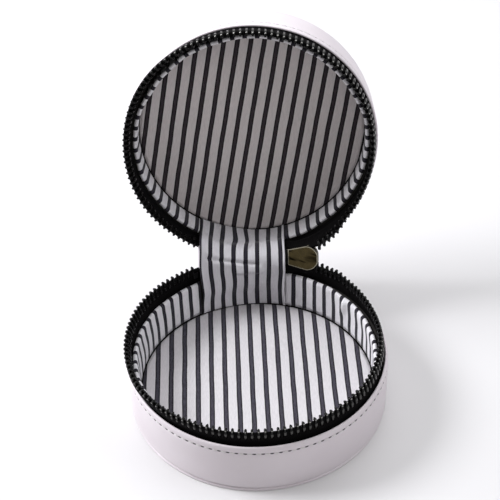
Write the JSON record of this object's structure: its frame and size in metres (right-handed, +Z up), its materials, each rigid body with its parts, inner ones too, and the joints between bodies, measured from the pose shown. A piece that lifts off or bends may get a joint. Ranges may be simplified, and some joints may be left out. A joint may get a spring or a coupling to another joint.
{
  "type": "jewelry box",
  "caption": "Round zip-around travel jewelry box standing open: leather outside, striped cloth lining, lid on a soft hinge, and a zip slider that runs round the rim.",
  "frame": {"origin": "centre of the underside of the base, on the table", "axes": "+Z up, +Y from the middle of the base towards the hinge, +X to the right seen from the front"},
  "size_m": [0.1006, 0.1407, 0.1261],
  "materials": {
    "leather_white": "smooth white leather",
    "thread_white": "white thread",
    "lining_striped": "pale cotton with dark stripes",
    "foam": "soft foam sheet",
    "board": "grey board",
    "zip_cloth": "black woven tape",
    "zip_metal": "glossy black",
    "slider_bronze": "polished antique bronze"
  },
  "bodies": {
    "base": {"base_bottom_panel": "leather_white", "base_bottom_board": "board", "base_floor_pad": "foam", "base_floor_lining": "lining_striped", "base_outer_band": "leather_white", "base_band_stitches": "thread_white", "base_wall_board": "board", "base_wall_lining": "lining_striped", "base_zip_tape": "zip_cloth", "base_zip_teeth": "zip_metal", "base_top_stop": "zip_metal", "hinge_leather": "leather_white", "hinge_lining": "lining_striped"},
    "lid": {"lid_top_panel": "leather_white", "lid_top_board": "board", "lid_ceiling_pad": "foam", "lid_ceiling_lining": "lining_striped", "lid_outer_band": "leather_white", "lid_band_stitches": "thread_white", "lid_wall_board": "board", "lid_wall_lining": "lining_striped", "lid_zip_tape": "zip_cloth", "lid_zip_teeth": "zip_metal", "lid_top_stop": "zip_metal"},
    "zip_tail": {"zip_bottom_stop": "zip_metal"},
    "slider": {"slider_body": "slider_bronze", "slider_bail": "slider_bronze"},
    "pull": {"slider_pull": "slider_bronze"}
  },
  "joints": [
    {"name": "lid_hinge", "type": "hinge", "parent": "base", "child": "lid", "pos_m": [0, 0.0479, 0.03], "axis": [1, 0, 0], "range_deg": [0, 101], "deforming": ["hinge_leather", "hinge_lining"]},
    {"name": "zip_fold", "type": "hinge", "parent": "base", "child": "zip_tail", "pos_m": [0, 0.0479, 0.03], "axis": [1, 0, 0], "range_deg": [0, 30.3]},
    {"name": "slider_travel", "type": "hinge", "parent": "zip_tail", "child": "slider", "pos_m": [0, 0.00654, 0.05417], "axis": [0, -0.5045, -0.8634], "range_deg": [0, 290.25]},
    {"name": "pull_swing", "type": "hinge", "parent": "slider", "child": "pull", "pos_m": [0.02179, 0.04707, 0.03049], "axis": [0, 0.5045, 0.8634], "range_deg": [-109, 20]}
  ],
  "couplings": [
    {"joint": "zip_fold", "follows": "lid_hinge", "ratio": 0.3}
  ]
}
